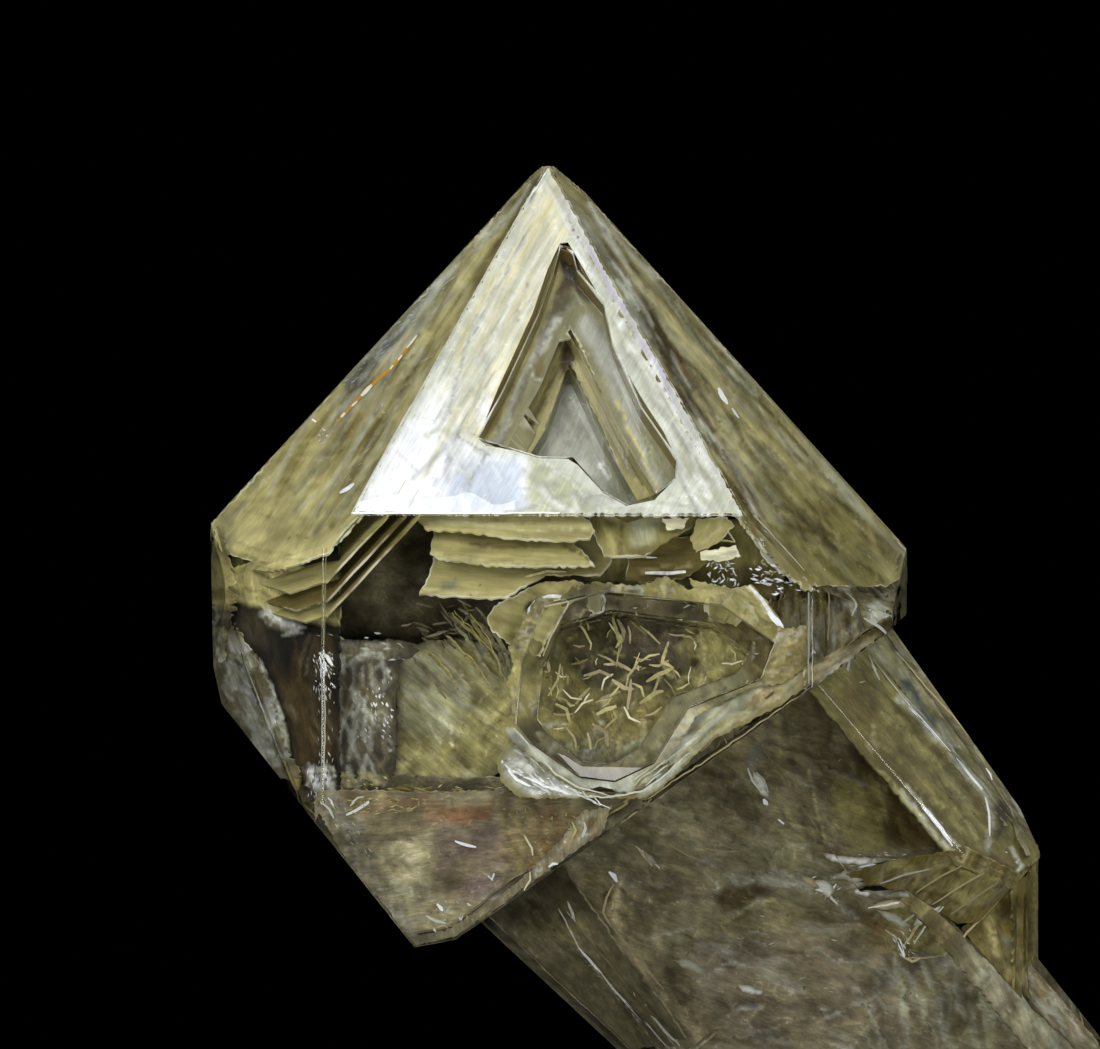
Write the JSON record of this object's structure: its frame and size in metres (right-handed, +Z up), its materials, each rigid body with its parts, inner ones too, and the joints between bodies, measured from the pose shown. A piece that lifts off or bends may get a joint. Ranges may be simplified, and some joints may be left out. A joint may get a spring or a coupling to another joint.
{
  "type": "skeletal quartz crystal",
  "caption": "Skeletal quartz: a pointed clear head crystal with stepped hollows, on a leaning stem of parallel crystals cut flat at the root.",
  "frame": {"origin": "on the flat cut through the root, under the middle of the whole solid's box", "axes": "+Z up, -Y towards the front terminal face with the stepped window, +X towards the side that the stem leans to"},
  "size_m": [0.0616, 0.0426, 0.0625],
  "materials": {
    "quartz": "clear natural crystal faces, glossy, faintly smoky olive",
    "growth_layers": "khaki clay-stained growth layers and veils sealed in the crystal, satin"
  },
  "bodies": {
    "root": {"quartz_crystals": "quartz"}
  },
  "joints": []
}
